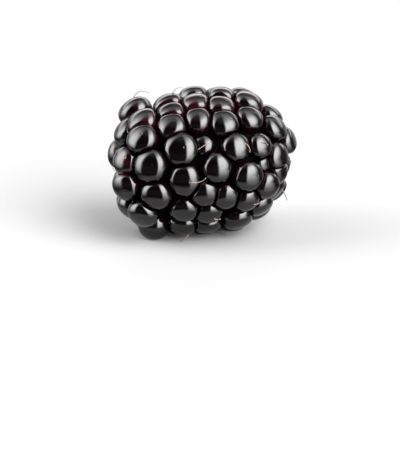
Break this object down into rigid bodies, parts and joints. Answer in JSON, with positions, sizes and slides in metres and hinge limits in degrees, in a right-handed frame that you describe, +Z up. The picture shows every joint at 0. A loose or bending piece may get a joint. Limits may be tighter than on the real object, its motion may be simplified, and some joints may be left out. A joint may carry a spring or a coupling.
{
  "type": "bramble berry",
  "caption": "Ripe bramble berry lying on its side: a barrel-shaped head of rounded black drupelets round a pale receptacle end.",
  "frame": {"origin": "centre of the footprint, on the surface the berry rests on", "axes": "+X along the fruit's long axis towards the tip (which is raised 5 degrees), +Z up, -Y towards the side seen first"},
  "size_m": [0.03, 0.0242, 0.0237],
  "materials": {
    "skin": "glossy black fruit skin with a wine-red cast",
    "receptacle_flesh": "matt, fibrous, pale greenish cream"
  },
  "bodies": {
    "root": {"drupelets": "skin", "receptacle": "receptacle_flesh"}
  },
  "joints": []
}
